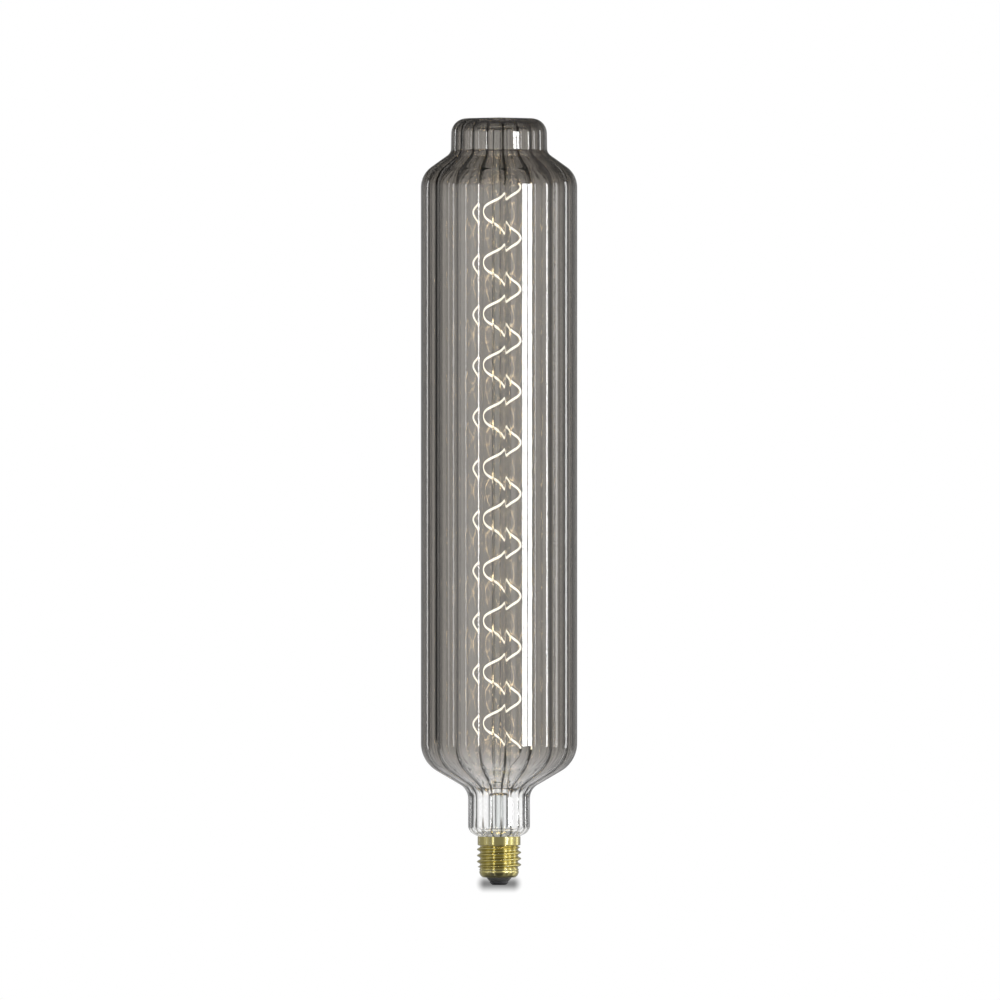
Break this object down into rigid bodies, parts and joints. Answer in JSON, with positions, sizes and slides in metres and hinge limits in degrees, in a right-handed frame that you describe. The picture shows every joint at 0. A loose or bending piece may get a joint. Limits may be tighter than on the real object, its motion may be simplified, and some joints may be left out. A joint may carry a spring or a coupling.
{
  "type": "led filament light bulb",
  "caption": "Long tubular smoked-glass LED filament lamp with optic flutes inside the glass, a small round crown, a helical filament and a 27 mm screw cap.",
  "frame": {"origin": "middle of the centre contact's flat face, at the very bottom of the cap", "axes": "+Z along the lamp's axis from the cap to the glass crown; +X to the right and +Y away in the picture"},
  "size_m": [0.093, 0.093, 0.4567],
  "materials": {
    "smoked_glass": "smoky grey transparent glass",
    "clear_glass": "clear glass",
    "filament_glow": "glowing silicone-coated LED strand",
    "nickel": "plain nickel-plated wire and strip",
    "contact_metal": "dark polished metal",
    "black_insulator": "glossy black",
    "brass": "polished rolled brass",
    "cement": "matt white basing cement",
    "board_green": "green circuit board",
    "component_black": "matt black moulded part",
    "capacitor_film": "dark film sleeve",
    "resistor_coat": "lacquered resistor"
  },
  "bodies": {
    "root": {"glass_envelope": "smoked_glass", "glass_mount": "clear_glass", "filament": "filament_glow", "filament_clip_lower": "nickel", "filament_clip_upper": "nickel", "lower_lead_wire": "nickel", "return_lead_wire": "nickel", "centre_contact": "contact_metal", "cap_insulator": "black_insulator", "screw_shell": "brass", "basing_cement": "cement", "driver_board": "board_green", "driver_chip": "component_black", "bridge_rectifier": "component_black", "sense_resistor": "component_black", "freewheel_diode": "component_black", "input_capacitor": "capacitor_film", "choke": "component_black", "fusible_resistor": "resistor_coat", "live_wire": "nickel", "neutral_wire": "nickel"}
  },
  "joints": []
}
